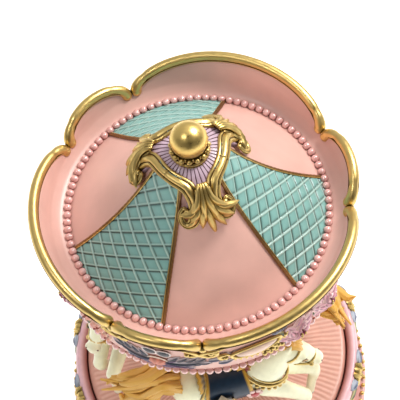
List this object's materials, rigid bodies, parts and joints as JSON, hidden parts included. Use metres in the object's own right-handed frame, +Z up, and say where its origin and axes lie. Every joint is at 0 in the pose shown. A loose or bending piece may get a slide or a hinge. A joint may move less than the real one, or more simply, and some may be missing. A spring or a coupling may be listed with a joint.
{
  "type": "carousel music box",
  "caption": "Wind-up carousel music box: round base with a movement inside, turning table with column, poles and horses, and a tent canopy with a scalloped gilt crest and ball finial.",
  "frame": {"origin": "on the floor under the centre of the round base, on the turning axis", "axes": "+Z up along the turning axis, +X to the right and -Y towards a viewer in front"},
  "size_m": [0.124, 0.124, 0.2106],
  "materials": {
    "base_resin": "satin painted cast resin",
    "deck_plastic": "moulded plastic",
    "cover_felt": "felt faced board",
    "steel": "zinc plated",
    "foot_rubber": "matte",
    "zinc": "die cast",
    "comb_steel": "ground",
    "brass": "machined",
    "barrel_steel": "pressed",
    "spring_steel": "blued",
    "hub_plastic": "moulded",
    "table_resin": "satin painted cast resin",
    "column_resin": "satin painted cast resin",
    "ceiling_resin": "satin painted cast resin",
    "crest_resin": "satin painted cast resin",
    "gilt": "antique gold paint",
    "roof_resin": "satin painted cast resin",
    "pearl": "pearl lacquer",
    "cap_resin": "satin painted cast resin",
    "ball_gilt": "polished gold lacquer",
    "pole_gilt": "gold lacquer",
    "horse_resin": "satin painted cast resin",
    "saddle_paint": "painted",
    "key_steel": "nickel plated"
  },
  "bodies": {
    "base": {"base_housing": "base_resin", "deck_plate": "deck_plastic", "bottom_cover": "cover_felt", "cover_screws": "steel", "feet": "foot_rubber", "movement_bedplate": "zinc", "movement_screws": "steel", "comb": "comb_steel", "comb_screws": "steel", "arbor_bush": "brass", "deck_bush": "brass", "drum_bracket_inner": "zinc", "drum_bracket_outer": "zinc", "fly_bracket": "zinc"},
    "carousel": {"spring_barrel": "barrel_steel", "barrel_lid": "barrel_steel", "mainspring": "spring_steel", "drive_shaft": "steel", "turntable_hub": "hub_plastic", "turntable": "table_resin", "hub_screws": "steel", "column": "column_resin", "tie_rod": "steel", "tie_nut": "steel", "ceiling": "ceiling_resin", "crest_wall": "crest_resin", "crest_rim": "gilt", "roof_shell": "roof_resin", "roof_beads": "pearl", "frieze_beads": "pearl", "finial_cap": "cap_resin", "finial_collar": "gilt", "finial_stud": "steel", "finial_ball": "ball_gilt", "pole_1": "pole_gilt", "pole_2": "pole_gilt", "pole_3": "pole_gilt", "pole_flanges": "pole_gilt", "horse_1": "horse_resin", "horse_2": "horse_resin", "horse_3": "horse_resin", "saddle_1": "saddle_paint", "saddle_2": "saddle_paint", "saddle_3": "saddle_paint"},
    "drum": {"drum_cylinder": "brass", "drum_arbor": "steel", "drum_pinion": "brass", "drum_wheel": "brass"},
    "fly": {"fly_pinion": "brass", "fly_shaft": "steel", "fly_fan": "brass"},
    "key": {"winding_arbor": "steel", "winding_key": "key_steel"}
  },
  "joints": [
    {"name": "carousel_spin", "type": "hinge", "parent": "base", "child": "carousel", "pos_m": [0, 0, 0.036], "axis": [0, 0, 1], "continuous": true},
    {"name": "drum_spin", "type": "hinge", "parent": "base", "child": "drum", "pos_m": [0.0267, 0, 0.023], "axis": [1, 0, 0], "continuous": true},
    {"name": "fly_spin", "type": "hinge", "parent": "base", "child": "fly", "pos_m": [0.041, -0.00726, 0.023], "axis": [1, 0, 0], "continuous": true},
    {"name": "key_wind", "type": "hinge", "parent": "base", "child": "key", "pos_m": [0, 0, 0.008], "axis": [0, 0, 1], "continuous": true}
  ],
  "couplings": [
    {"joint": "drum_spin", "follows": "carousel_spin", "ratio": 4},
    {"joint": "fly_spin", "follows": "carousel_spin", "ratio": -12}
  ]
}
